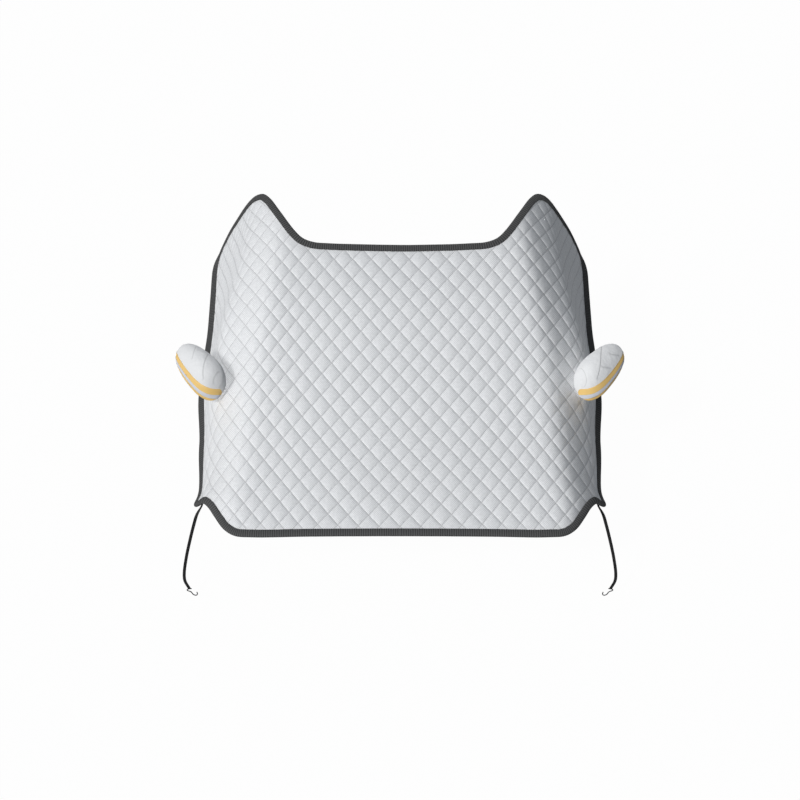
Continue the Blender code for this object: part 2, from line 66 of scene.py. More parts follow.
# The cut of the cloth, right half, from the front middle round to the rear middle.
HEM_POINTS = (
    (0.0, 0.003), (0.40, 0.003), (0.68, 0.003), (0.762, 0.012), (0.815, 0.046), (0.860, 0.105),
    (0.896, 0.155), (0.930, 0.180), (0.972, 0.178), (1.011, 0.192), (1.030, 0.224), (1.037, 0.27),
    (1.10, 0.50), (1.19, 0.79), (1.253, 1.08), (1.283, 1.40), (1.290, 1.64), (1.278, 1.705),
    (1.235, 1.748), (1.10, 1.775), (0.92, 1.766), (0.76, 1.746), (0.705, 1.742), (0.668, 1.732),
    (0.635, 1.700), (0.585, 1.622), (0.510, 1.508), (0.468, 1.463), (0.415, 1.440), (0.34, 1.432),
    (0.20, 1.425), (0.0, 1.421),
)
CURVE_STEPS = 24

# The quilting: width and length of a diamond, the first crossing, and how the rows drift.
DIAMOND_WIDTH = 0.0931
DIAMOND_LENGTH = 0.1038
FIRST_CROSSING = 0.1522
DRIFT_BOW = 0.072
DRIFT_TWIST = -0.062
DRIFT_CURL = -0.172
DRIFT_NARROW = -0.122
DRIFT_TAPER = -0.044
DRIFT_MIDDLE = 0.8
DRIFT_REACH = 0.85
DRIFT_EASE = 6

PANEL_THIN = 0.004
PANEL_PUFF = 0.0099
CREASE_POWER = 5.5
CREASE_SHARE = 0.55
SWELL_POWER = 2.2
CELL_CUTS = (0.0, 0.04, 0.11, 0.32, 0.68, 0.89, 0.96)
CELLS = (-20, 39)
CELLS_ALONG = (-0.06, 1.84)
CELLS_PAST_HEM = 0.010
QUILT_START = 0.035
QUILT_RISE = 0.014

# Low waves of the cloth: their height, then waves a metre across and along and the level of the noise.
WRINKLE = 0.0022
WIDE_WAVES = (3.1, 4.3, 0.7)
CLOSE_WAVES = (9.0, 8.0, 5.2)
CLOSE_SHARE = 0.5

# Where the cloth begins to fold down at the sides, and how much further its shading turns there.
FOLD_PLACE = 0.762
FOLD_SLANT = -0.156
FOLD_WIDTH = 0.082
FOLD_TURN = 0.55
FOLD_MIDDLE = 0.8

# The shading of the tape turns outward at the sides and rearward at the rear, between these places.
SIDE_TAPE_TURN = 1.6
SIDE_TAPE_START = 1.0
SIDE_TAPE_RISE = 0.04
SIDE_TAPE_END = 1.72
REAR_TAPE_TURN = 1.3
REAR_TAPE_START = 1.35
ALONG_RISE = 0.08

EDGE_INSET = 0.004
STRIP_INSET = 0.040
ARM_CUT_MIDDLE = (0.902, 0.762)
ARM_CUT_RADII = (0.040, 0.048)

# Sections of the tape round the hem: the widest and the closest gap, and the turn between two sections.
SECTION_GAP = 0.016
CORNER_GAP = 0.005
CORNER_TURN = 0.12
HEM_STEP = 0.002
BEND_REACH = 9
RING_ROUNDS = 400
TIGHT_SHARE = 0.30
POINTS_AT_ONCE = 4000

# The folded tape round the hem: (distance in from the hem, height over the underside of the panel).
BINDING_SECTION = (
    (0.0350, 0.0058), (0.0350, 0.0076), (0.0335, 0.0086), (0.0270, 0.0098), (0.0180, 0.0108),
    (0.0090, 0.0104), (0.0030, 0.0086), (-0.0005, 0.0056), (-0.0010, 0.0020), (0.0000, -0.0016),
    (0.0040, -0.0040), (0.0180, -0.0046), (0.0350, -0.0042), (0.0350, -0.0018), (0.0018, -0.0018),
    (0.0018, 0.0058),
)

# The mirror pouches: an egg form with its long axis swept back, slimmer at its outer end.
POUCH_MIDDLE = (0.9456, 0.140, 0.0467)
POUCH_RADII = (0.145, 0.0795, 0.129)
POUCH_SWEEP = 48.8
POUCH_TAPER = 0.169
POUCH_FULLNESS = 2.57
POUCH_TWIST = 3.5
POUCH_WALL = 0.004
POUCH_SEAT = 0.0106
POUCH_SOFTNESS = 0.7
POUCH_SOFT_WAY = (-0.25, -0.45, 0.85)
BAND_ANGLE = 28.0
BAND_ENDS = (2.0, 201.0)
BAND_ROUNDING = 22.0
TAPE_EDGES = (-47.0, 0.0)
STRIP_EDGES = (-28.5, -16.0)
TAPE_THICK = 0.0010
TAPE_GAP = 0.0005
POUCH_NET = (96, 56)
POUCH_CAP = 0.02
POUCH_LET_IN = 0.004
POUCH_FOLD = 0.0012
POUCH_FOLDS = (2.6, 1.7, 3.0)
BAND_NET = (120, 12)
BAND_END_SHARE = 0.02

# The straps: flat elastic webbing from under each front corner down to a hook.
STRAP_WIDTH = 0.015
STRAP_THICK = 0.002
STRAP_START = ((0.950, 0.216, 0.0068), (0.953, 0.198, 0.0072), (0.956, 0.182, 0.0083))
STRAP_DROP = (
    (0.955, -0.438, -0.315), (0.975, -0.455, -0.380), (1.000, -0.485, -0.470), (1.026, -0.520, -0.575),
    (1.045, -0.550, -0.680), (1.046, -0.562, -0.730), (1.030, -0.572, -0.790),
)
STRAP_NET = (97, 5)
STRAP_TURN = (2, 4, 24)
STRAP_COARSE = 25
HOOK_ROD = 0.0025
HOOK_GAP = 0.0006
HOOK_POINTS = 60
HOOK_LINE = (
    (-0.0100, 0.0000), (0.0070, 0.0000), (0.0135, -0.0025), (0.0155, -0.0085), (0.0115, -0.0145),
    (0.0050, -0.0205), (0.0010, -0.0290), (0.0000, -0.0420), (-0.0040, -0.0510), (-0.0085, -0.0550),
    (-0.0145, -0.0555), (-0.0200, -0.0515), (-0.0240, -0.0430), (-0.0250, -0.0340),
)

# The camera stands in front of the cover and looks down at its origin.
CAMERA_ELEVATION = 55.0
CAMERA_DISTANCE = 7.75
CAMERA_LENS = 74.25

# Two lamps and a dim sky: the way that each lamp shines from, and its power.
SIDE_LIGHT_FROM = (-0.74, -0.45, 0.50)
SIDE_LIGHT_POWER = 1.53
TOP_LIGHT_FROM = (-0.45, -0.40, 0.80)
TOP_LIGHT_POWER = 1.13
LIGHT_SPREAD = 7.0
SKY_COLOUR = (0.87, 0.93, 1.0, 1.0)
SKY_POWER = 0.262
WHITE = (1.0, 1.0, 1.0, 1.0)

# The floor: its size and height, its lightness to rays that aren't the camera's, and the share of its
# white that glows for the camera.
FLOOR_HEIGHT = -0.875
FLOOR_SIZE = 60.0
FLOOR_DULL = 0.33
FLOOR_PALE = 0.8
FLOOR_GLOW = 0.97

# The woven check, in radians a metre of cloth, and the painted shade beside a seam, in shares of a
# diamond.
THREADS = 594.0
SEAM_PAINTED_SHADE = 0.09
SEAM_PAINTED_SHADE_WIDTH = 0.09

# Stitches: the half width of a seam's thread and its soft edge, how many lie on a diamond's side, and
# the share of each that is a gap. Then the ribs of the tape, in radians a metre.
STITCH_EDGES = (0.008, 0.022)
STITCHES = 8.0
STITCH_GAP = 0.45
RIBS = 600.0

# Seams and creases of the pouches, drawn as lines of painted shade: (share, angle) at the top, the same
# at the band, darkness, width.
RIGHT_SHADED_SEAMS_AND_CREASES = (
    ((0.30, 114.0), (-0.70, 48.0), 0.50, 0.045), ((-0.76, 125.0), (-0.99, 55.0), 0.20, 0.020),
    ((0.20, 66.0), (0.52, 38.0), 0.25, 0.060), ((-0.38, 60.0), (-0.09, 36.0), 0.25, 0.060),
)
LEFT_SHADED_SEAMS_AND_CREASES = (
    ((-0.20, 118.0), (-0.72, 48.0), 0.30, 0.045), ((0.36, 110.0), (0.0, 66.0), 0.22, 0.040),
    ((-0.84, 118.0), (-0.96, 60.0), 0.20, 0.030),
)


def smoothed(t):
    return t * t * (3 - 2 * t)


def eased(x, places, values):
    """Value at x, eased smoothly from each given place to the next."""
    x = np.asarray(x, float)
    places = np.asarray(places)
    values = np.asarray(values)
    i = np.clip(np.searchsorted(places, x) - 1, 0, len(places) - 2)
    t = smoothed(np.clip((x - places[i]) / (places[i + 1] - places[i]), 0.0, 1.0))
    return values[i] * (1 - t) + values[i + 1] * t


line_places = np.arange(*LINE_SPAN, LINE_STEP)
line_slopes = np.radians(eased(line_places, PROFILE_PLACES, PROFILE_SLOPES))
between = 0.5 * (line_slopes[1:] + line_slopes[:-1])
line_y = np.concatenate([[0], np.cumsum(np.cos(between) * LINE_STEP)])
line_z = np.concatenate([[0], np.cumsum(np.sin(between) * LINE_STEP)])
line_y -= np.interp(ORIGIN_PLACE, line_places, line_y)
line_z -= np.interp(ORIGIN_PLACE, line_places, line_z)


def field(points):
    """Rough distance of points outside the surface that the cover lies on."""
    x, y, z = points[..., 0], points[..., 1], points[..., 2]
    slope = np.interp(y, line_y, line_slopes)
    top = (z - np.interp(y, line_y, line_z) + CROWN * x * x) * np.cos(slope)
    lean = np.radians(eased(y, LEAN_PLACES, LEANS))
    lip = LIP_OUT * np.exp(-((y - LIP_PLACE) / LIP_LENGTH) ** 2)
    half = eased(y, SIDE_PLACES, SIDE_HALVES) + lip
    side = (np.abs(x) - half + np.tan(lean) * (z - BELT_HEIGHT)) * np.cos(lean)
    reach = eased(y, FOLD_PLACES, FOLD_REACHES)
    near = np.clip(1 - np.abs(top - side) / reach, 0, None)
    return np.maximum(top, side) + reach * near ** 3 / 6


def outward(points):
    """Outward direction of the surface at the points, with the size of the field's slope."""
    way = np.empty_like(points)
    for i in range(3):
        ahead = points.copy()
        behind = points.copy()
        ahead[..., i] += FIELD_STEP
        behind[..., i] -= FIELD_STEP
        way[..., i] = (field(ahead) - field(behind)) / (2 * FIELD_STEP)
    return way


def unit(vectors):
    return vectors / np.linalg.norm(vectors, axis=-1, keepdims=True)


def seated(points, rounds):
    """The points moved onto the surface."""
    for _ in range(rounds):
        way = outward(points)
        points = points - way * (field(points) / (way * way).sum(-1))[..., None]
    return points


along_places = np.arange(*LAID_SPAN, ALONG_STEP)


def laid_rows():
    """Rows of cloth laid straight out from the middle line over the surface."""
    start = [0 * along_places, np.interp(along_places, line_places, line_y),
             np.interp(along_places, line_places, line_z)]
    points = seated(np.stack(start, -1), 5)
    rows = [points]
    way = np.tile([1.0, 0.0, 0.0], (len(along_places), 1))
    for _ in range(int(round(LAID_REACH / ACROSS_STEP))):
        up = unit(outward(points))
        way = unit(way - up * (way * up).sum(-1, keepdims=True))
        points = seated(points + ACROSS_STEP * way, 1)
        rows.append(points)
    return np.stack(rows, 1)


laid = laid_rows()


def wave(across, along, across_scale, along_scale, level):
    return noise.noise(Vector((across * across_scale, along * along_scale, level)))


def wrinkles(across, along):
    """Low waves of the cloth, wide ones with closer ones on them, as heights."""
    flat = zip(np.ravel(across), np.ravel(along))
    waves = [wave(u, v, *WIDE_WAVES) + CLOSE_SHARE * wave(u, v, *CLOSE_WAVES) for u, v in flat]
    return WRINKLE * np.array(waves).reshape(np.shape(across))


def laid_point(across, along):
    """The point of the right half of the laid cloth at a place, before its hem is turned outward."""
    i = np.clip(across / ACROSS_STEP, 0, laid.shape[1] - 1.001)
    j = np.clip((along - along_places[0]) / ALONG_STEP, 0, len(along_places) - 1.001)
    a = i.astype(int)
    b = j.astype(int)
    s = (i - a)[..., None]
    t = (j - b)[..., None]
    points = laid[b, a] * (1 - s) * (1 - t) + laid[b, a + 1] * s * (1 - t)
    return points + laid[b + 1, a] * (1 - s) * t + laid[b + 1, a + 1] * s * t


def on_cover(across, along, height=0.0, waved=True):
    """The point over a place on the cloth, at a height outside its underside."""
    across = np.asarray(across, float)
    along = np.asarray(along, float)
    height = np.asarray(height, float) + (wrinkles(across, along) if waved else 0.0 * across)
    hem = np.interp(along, side_hem[:, 1], side_hem[:, 0])
    past = np.clip(np.abs(across) - hem + TURN_REACH, 0, None)
    start = laid_point(np.abs(across) - past, along)
    way = laid_point(np.abs(across), along) - start
    way = way / np.maximum(np.linalg.norm(way, axis=-1, keepdims=True), 1e-9)
    up = unit(outward(start))
    turn = np.radians(eased(along, TURN_PLACES, TURN_SIZES)) * past / TURN_REACH
    down_way = past * np.sinc(turn / math.pi)
    out_way = past * np.sin(turn / 2) * np.sinc(turn / (2 * math.pi))
    cosine = np.cos(turn)[..., None]
    sine = np.sin(turn)[..., None]
    points = start + way * down_way[..., None] + up * out_way[..., None]
    points = points + (up * cosine - way * sine) * height[..., None]
    points[..., 0] *= np.where(across < 0, -1, 1)
    return points


def fine_curve(points, mirrored_ends):
    """Many points on a smooth curve through the given ones."""
    p = np.array(points, float)
    if mirrored_ends:
        first = p[1] * np.array([-1.0, 1.0])
        last = p[-2] * np.array([-1.0, 1.0])
    else:
        first = 2 * p[0] - p[1]
        last = 2 * p[-1] - p[-2]
    p = np.vstack([first, p, last])
    found = []
    for a, b, c, d in zip(p[:-3], p[1:-2], p[2:-1], p[3:]):
        t1 = np.linalg.norm(b - a) ** 0.5
        t2 = t1 + np.linalg.norm(c - b) ** 0.5
        t3 = t2 + np.linalg.norm(d - c) ** 0.5
        for t in np.linspace(t1, t2, CURVE_STEPS, endpoint=False):
            a1 = (t1 - t) / t1 * a + t / t1 * b
            a2 = (t2 - t) / (t2 - t1) * b + (t - t1) / (t2 - t1) * c
            a3 = (t3 - t) / (t3 - t2) * c + (t - t2) / (t3 - t2) * d
            b1 = (t2 - t) / t2 * a1 + t / t2 * a2
            b2 = (t3 - t) / (t3 - t1) * a2 + (t - t1) / (t3 - t1) * a3
            found.append((t2 - t) / (t2 - t1) * b1 + (t - t1) / (t2 - t1) * b2)
    found.append(p[-2])
    return np.array(found)


hem_line = fine_curve(HEM_POINTS, True)
on_side = (hem_line[:, 1] > SIDE_HEM_ALONG[0]) & (hem_line[:, 1] < SIDE_HEM_ALONG[1])
side_hem = hem_line[on_side & (hem_line[:, 0] > SIDE_HEM_ACROSS)]


def run_of(curve):
    return np.concatenate([[0], np.cumsum(np.linalg.norm(np.diff(curve, axis=0), axis=1))])


def by_length(curve, lengths=None, count=None):
    """Points along a curve at the given lengths, or a number of them evenly spread."""
    run = run_of(curve)
    if lengths is None:
        lengths = np.linspace(0, run[-1], count)
    return np.stack([np.interp(lengths, run, curve[:, i]) for i in range(curve.shape[1])], 1)


def hem_stations():
    """Places of the sections round the whole hem, closer at corners, and the inward way at each."""
    run = run_of(hem_line)
    even = np.linspace(0, run[-1], int(run[-1] / HEM_STEP))
    path = by_length(hem_line, even)
    way = unit(np.gradient(path, axis=0))
    way[0] = (1, 0)
    way[-1] = (-1, 0)
    heading = np.unwrap(np.arctan2(way[:, 1], way[:, 0]))
    bend = np.abs(np.gradient(heading, even))
    width = 2 * BEND_REACH + 1
    bend = np.convolve(np.pad(bend, BEND_REACH, mode="edge"), np.ones(width) / width, mode="valid")
    wanted = np.clip(bend / CORNER_TURN, 1 / SECTION_GAP, 1 / CORNER_GAP)
    total = np.concatenate([[0], np.cumsum(0.5 * (wanted[1:] + wanted[:-1]) * np.diff(even))])
    count = int(math.ceil(total[-1]))
    lengths = np.interp(np.linspace(0, total[-1], count + 1), total, even)
    places = by_length(hem_line, lengths)
    inward = np.stack([-way[:, 1], way[:, 0]])
    inward = np.stack([np.interp(lengths, even, part) for part in inward], 1)
    places = np.vstack([places, places[-2:0:-1] * [-1, 1]])
    inward = np.vstack([inward, inward[-2:0:-1] * [-1, 1]])
    return places, unit(inward)


hem_places, hem_inward = hem_stations()


def inner_ring(depth):
    """The hem moved inwards, with the spacing kept open at tight corners."""
    ring = hem_places + depth * hem_inward
    step = np.roll(hem_places, -1, 0) - hem_places
    length = np.linalg.norm(step, axis=1)
    for _ in range(RING_ROUNDS):
        moved = ((np.roll(ring, -1, 0) - ring) * step).sum(1) / length
        tight = moved < TIGHT_SHARE * length
        soft = (tight | np.roll(tight, 1)).astype(float)[:, None]
        if not tight.any():
            break
        ring = ring * (1 - 0.5 * soft) + 0.25 * soft * (np.roll(ring, -1, 0) + np.roll(ring, 1, 0))
    return ring


edge_ring = inner_ring(EDGE_INSET)
strip_ring = inner_ring(STRIP_INSET)


def nearest_on_ring(points, ring):
    """Signed depth inside the ring, and the nearest point on it, for each point."""
    depth = np.empty(len(points))
    nearest = np.empty_like(points)
    ends = np.roll(ring, -1, 0)
    side = ends - ring
    for first in range(0, len(points), POINTS_AT_ONCE):
        group = slice(first, first + POINTS_AT_ONCE)
        part = points[group]
        from_a = part[:, None] - ring[None]
        t = np.clip((from_a * side).sum(-1) / (side * side).sum(-1), 0, 1)
        away = np.linalg.norm(from_a - t[..., None] * side, axis=-1)
        best = away.argmin(1)
        rows = np.arange(len(part))
        x, y = part[:, 0][:, None], part[:, 1][:, None]
        rising = np.where(side[:, 1] == 0, 1e-12, side[:, 1])
        at_x = ring[:, 0] + (y - ring[:, 1]) / rising * side[:, 0]
        crosses = ((ring[:, 1] > y) != (ends[:, 1] > y)) & (x < at_x)
        within = crosses.sum(1) % 2 == 1
        depth[group] = np.where(within, away[rows, best], -away[rows, best])
        nearest[group] = ring[best] + t[rows, best][:, None] * side[best]
    return depth, nearest


def seam_place(i, k):
    """The place on the cloth of the crossing i across and k along."""
    u = np.asarray(i, float) * DIAMOND_WIDTH
    v = FIRST_CROSSING + np.asarray(k, float) * DIAMOND_LENGTH
    t = v - DRIFT_MIDDLE
    soft = np.abs(u) / (1 + (np.abs(u) / DRIFT_REACH) ** DRIFT_EASE) ** (1 / DRIFT_EASE)
    across = u * (1 + DRIFT_NARROW * soft ** 2 + DRIFT_TAPER * t)
    along = v + DRIFT_BOW * soft ** 2 + DRIFT_TWIST * soft ** 2 * t + DRIFT_CURL * soft ** 4
    return np.stack([across, along], -1)


def new_mesh(name, points, faces, look, uvs=(), smooth=True):
    """An object of the points and faces, with each named set of two numbers a point as a UV map."""
    mesh = bpy.data.meshes.new(name)
    mesh.from_pydata([tuple(p) for p in points], [], [tuple(f) for f in faces])
    corners = np.empty(len(mesh.loops), int)
    mesh.loops.foreach_get("vertex_index", corners)
    for layer, values in uvs:
        made = mesh.uv_layers.new(name=layer)
        made.data.foreach_set("uv", np.asarray(values, float)[corners].ravel())
    mesh.materials.append(look)
    if smooth:
        mesh.shade_smooth()
    obj = bpy.data.objects.new(name, mesh)
    bpy.context.scene.collection.objects.link(obj)
    return obj


def net_faces(columns, rows, wrap_columns=False, wrap_rows=False):
    """Quads of a net whose vertices are numbered row by row."""
    i = np.arange(columns if wrap_columns else columns - 1)
    j = np.arange(rows if wrap_rows else rows - 1)
    i, j = [part.ravel() for part in np.meshgrid(i, j)]
    right = (i + 1) % columns
    up = (j + 1) % rows
    return np.stack([j * columns + i, j * columns + right, up * columns + right, up * columns + i], 1)


def thickened(obj, thickness, offset):
    """The object with a wall added on the side that the offset gives, from -1 to 1."""
    solid = obj.modifiers.new("thickness", "SOLIDIFY")
    solid.thickness = thickness
    solid.offset = offset
    return obj


class Shader:
    """A material with a short way to add and join nodes."""

    def __init__(self, name, roughness):
        self.material = bpy.data.materials.new(name)
        self.material.use_nodes = True
        self.nodes = self.material.node_tree.nodes
        self.links = self.material.node_tree.links
        self.shader = self.nodes["Principled BSDF"]
        self.shader.inputs["Roughness"].default_value = roughness

    def add(self, kind, **settings):
        node = self.nodes.new(kind)
        for key, value in settings.items():
            setattr(node, key, value)
        return node

    def put(self, socket, value):
        if isinstance(value, bpy.types.NodeSocket):
            self.links.new(value, socket)
        else:
            socket.default_value = value

    def math(self, operation, first, second=0.0, third=0.0):
        node = self.add("ShaderNodeMath", operation=operation)
        for socket, value in zip(node.inputs, (first, second, third)):
            self.put(socket, value)
        return node.outputs[0]

    def uv(self, layer):
        node = self.add("ShaderNodeUVMap", uv_map=layer)
        parts = self.add("ShaderNodeSeparateXYZ")
        self.links.new(node.outputs["UV"], parts.inputs[0])
        return node.outputs["UV"], parts.outputs["X"], parts.outputs["Y"]

    def noise(self, vector, scale, detail=2.0):
        node = self.add("ShaderNodeTexNoise")
        self.put(node.inputs["Vector"], vector)
        node.inputs["Scale"].default_value = scale
        node.inputs["Detail"].default_value = detail
        return node.outputs["Fac"]

    def ramp(self, value, low, high, from_low=0.0, from_high=1.0):
        """The value spread evenly from one span to another, without leaving it."""
        node = self.add("ShaderNodeMapRange")
        for socket, number in zip(node.inputs, (value, from_low, from_high, low, high)):
            self.put(socket, number)
        return node.outputs[0]

    def mix(self, share, first, second):
        node = self.add("ShaderNodeMix", data_type="RGBA")
        self.put(node.inputs["Factor"], share)
        self.put(node.inputs["A"], first)
        self.put(node.inputs["B"], second)
        return node.outputs["Result"]

    def bump(self, height, distance, strength=1.0):
        node = self.add("ShaderNodeBump")
        node.inputs["Distance"].default_value = distance
        node.inputs["Strength"].default_value = strength
        self.put(node.inputs["Height"], height)
        self.links.new(node.outputs["Normal"], self.shader.inputs["Normal"])

    def colour(self, value):
        self.put(self.shader.inputs["Base Color"], value)


def grey(value, blue=0.0):
    """A grey of the given lightness, with a share of blue in it."""
    return (value * (1 - blue), value * (1 - 0.3 * blue), value * (1 + blue), 1.0)


def seam_distance(shader, value):
    """Distance of a seam coordinate from its nearest seam, as a share of a diamond's side."""
    part = shader.math("FRACT", value)
    return shader.math("SUBTRACT", 0.5, shader.math("ABSOLUTE", shader.math("SUBTRACT", part, 0.5)))


def quilt_look():
    """Silvery woven cloth with dotted stitches in its seams and painted shade beside them."""
    s = Shader("silver_quilted_cloth", roughness=0.62)
    _, a, b = s.uv("seams")
    cloth, u, v = s.uv("cloth")
    near_a = seam_distance(s, a)
    near_b = seam_distance(s, b)
    on_a = s.ramp(near_a, 1.0, 0.0, *STITCH_EDGES)
    on_b = s.ramp(near_b, 1.0, 0.0, *STITCH_EDGES)
    dash_a = s.math("GREATER_THAN", s.math("FRACT", s.math("MULTIPLY", b, STITCHES)), STITCH_GAP)
    dash_b = s.math("GREATER_THAN", s.math("FRACT", s.math("MULTIPLY", a, STITCHES)), STITCH_GAP)
    stitch = s.math("MAXIMUM", s.math("MULTIPLY", on_a, dash_a), s.math("MULTIPLY", on_b, dash_b))
    threads = s.math("MULTIPLY", s.math("SINE", s.math("MULTIPLY", u, THREADS)),
                     s.math("SINE", s.math("MULTIPLY", v, THREADS)))
    mottle = s.noise(cloth, 90.0, 3.0)
    tone = s.ramp(mottle, 0.93, 1.05, 0.3, 0.7)
    tone = s.math("MULTIPLY", tone, s.ramp(threads, 0.87, 1.13, -1.0, 1.0))
    # Painted shade: the cloth is darkened beside each seam, where the quilting dips.
    painted_seam_shade = s.math("MAXIMUM", s.ramp(near_a, SEAM_PAINTED_SHADE, 0.0, 0.0, SEAM_PAINTED_SHADE_WIDTH),
                    s.ramp(near_b, SEAM_PAINTED_SHADE, 0.0, 0.0, SEAM_PAINTED_SHADE_WIDTH))
    tone = s.math("MULTIPLY", tone, s.math("SUBTRACT", 1.0, painted_seam_shade))
    base = s.mix(stitch, grey(0.78, 0.008), grey(0.40, 0.0))
    scaled = s.add("ShaderNodeVectorMath", operation="SCALE")
    s.put(scaled.inputs[0], base)
    s.put(scaled.inputs["Scale"], tone)
    s.colour(scaled.outputs[0])
    height = s.math("MULTIPLY_ADD", threads, 0.25, s.math("MULTIPLY", mottle, 1.2))
    height = s.math("SUBTRACT", height, stitch)
    s.bump(height, 0.0006, 0.6)
    return s.material


def binding_look():
    """Dark woven tape with fine ribs across it."""
    s = Shader("grey_binding_tape", roughness=0.6)
    s.shader.inputs["Specular IOR Level"].default_value = 0.12
    _, along, around = s.uv("tape")
    ribs = s.math("SINE", s.math("MULTIPLY", along, RIBS))
    s.colour(s.mix(s.ramp(ribs, 0.0, 1.0, -1.0, 1.0), grey(0.045), grey(0.110)))
    s.bump(ribs, 0.0008, 0.7)
    return s.material


def plain_look(name, colour, roughness):
    s = Shader(name, roughness)
    s.colour(colour)
    return s.material


def pouch_look(seams):
    """Silvery cloth with sewn seams and creases drawn as lines of painted shade, each from one (share,
    angle) on the pouch to another.
    """
    s = Shader("silver_pouch_cloth", roughness=0.6)
    _, share, angle = s.uv("pouch")
    line = 0.0
    for (from_share, from_angle), (to_share, to_angle), painted_shade, width in seams:
        high = from_angle / 360.0
        low = to_angle / 360.0
        rise = s.ramp(angle, from_share, to_share, high, low)
        away = s.math("ABSOLUTE", s.math("SUBTRACT", share, rise))
        fade = s.math("MULTIPLY", s.ramp(angle, 0.0, 1.0, low - 0.03, low + 0.01),
                      s.ramp(angle, 1.0, 0.0, high, high + 0.04))
        # Painted shade: the cloth is darkened along each seam and crease line.
        seam = s.math("MULTIPLY", s.ramp(away, painted_shade, 0.0, 0.0, width), fade)
        line = s.math("MAXIMUM", line, seam)
    place = s.add("ShaderNodeTexCoord").outputs["Object"]
    creases = s.noise(place, 26.0, 4.0)
    grain = s.noise(place, 420.0, 2.0)
    mottle = s.ramp(grain, 0.94, 1.06, 0.3, 0.7)
    tone = s.math("MULTIPLY", mottle, s.math("SUBTRACT", 1.0, line))
    scaled = s.add("ShaderNodeVectorMath", operation="SCALE")
    s.put(scaled.inputs[0], grey(0.76, 0.004)[:3])
    s.put(scaled.inputs["Scale"], tone)
    s.colour(scaled.outputs[0])
    height = s.math("SUBTRACT", creases, s.math("MULTIPLY", line, 0.35))
    s.bump(height, 0.010, 0.5)
    return s.material


def vertex_normals(mesh):
    normals = np.empty(len(mesh.vertices) * 3)
    mesh.vertex_normals.foreach_get("vector", normals)
    return normals.reshape(-1, 3)


def shade_by(mesh, normals):
    mesh.normals_split_custom_set_from_vertices([tuple(n) for n in unit(normals)])


def soften_shading(obj, share, toward):
    """Turn the shading of a piece some way toward a direction, or each vertex toward its own."""
    shade_by(obj.data, vertex_normals(obj.data) + share * np.array(toward))


def turn_shading(mesh, across, along):
    """Turn the shading of the upper side outward where the cloth begins to fold down."""
    normals = vertex_normals(mesh)
    place = FOLD_PLACE + FOLD_SLANT * (along - FOLD_MIDDLE)
    turn = FOLD_TURN * np.exp(-((np.abs(across) - place) / FOLD_WIDTH) ** 2)
    normals[:len(across), 0] += np.sign(across) * turn
    shade_by(mesh, normals)


def build_panel(look):
    """The quilted panel on a net that follows its seams, finer beside each of them."""
    cuts = np.array(CELL_CUTS)
    lines = np.concatenate([cuts + n for n in range(*CELLS)])
    a, b = [part.ravel() for part in np.meshgrid(lines, lines)]
    places = seam_place((a - b) / 2, (a + b) / 2)
    across, along = places.T
    hopeful = (np.abs(across) < LAID_REACH) & (along > CELLS_ALONG[0]) & (along < CELLS_ALONG[1])
    depth = np.full(len(places), -1.0)
    nearest = places.copy()
    depth[hopeful], nearest[hopeful] = nearest_on_ring(places[hopeful], edge_ring)
    faces = net_faces(len(lines), len(lines))
    kept = (depth[faces] > -CELLS_PAST_HEM).all(1)
    arm_share = np.hypot((np.abs(across) - ARM_CUT_MIDDLE[0]) / ARM_CUT_RADII[0],
                         (along - ARM_CUT_MIDDLE[1]) / ARM_CUT_RADII[1])
    kept &= ~(arm_share[faces] < 1).any(1)
    faces = faces[kept]
    used, faces = np.unique(faces, return_inverse=True)
    faces = faces.reshape(-1, 4)
    a, b, depth = a[used], b[used], depth[used]
    places = np.where((depth < 0)[:, None], nearest[used], places[used])
    from_a = np.abs(2 * (a % 1) - 1)
    from_b = np.abs(2 * (b % 1) - 1)
    crease = (1 - from_a ** CREASE_POWER) * (1 - from_b ** CREASE_POWER)
    swell = (1 - from_a ** SWELL_POWER) * (1 - from_b ** SWELL_POWER)
    free = smoothed(np.clip((depth - QUILT_START) / QUILT_RISE, 0, 1))
    puff = CREASE_SHARE * crease + (1 - CREASE_SHARE) * swell
    height = PANEL_THIN + (PANEL_PUFF - PANEL_THIN) * puff * free
    top = on_cover(places[:, 0], places[:, 1], height)
    under = on_cover(places[:, 0], places[:, 1], 0.0)
    count = len(places)
    edges = np.vstack([faces[:, [n, (n + 1) % 4]] for n in range(4)])
    keys = np.sort(edges, 1) @ np.array([1 << 32, 1])
    _, first, times = np.unique(keys, return_index=True, return_counts=True)
    rim = edges[first[times == 1]]
    walls = np.stack([rim[:, 1], rim[:, 0], rim[:, 0] + count, rim[:, 1] + count], 1)
    faces = np.vstack([faces, faces[:, ::-1] + count, walls])
    seams = np.tile(np.stack([a, b], 1), (2, 1))
    cloth = np.tile(places, (2, 1))
    obj = new_mesh("quilted_panel_cloth", np.vstack([top, under]), faces, look,
                   (("seams", seams), ("cloth", cloth)))
    turn_shading(obj.data, places[:, 0], places[:, 1])
    return obj


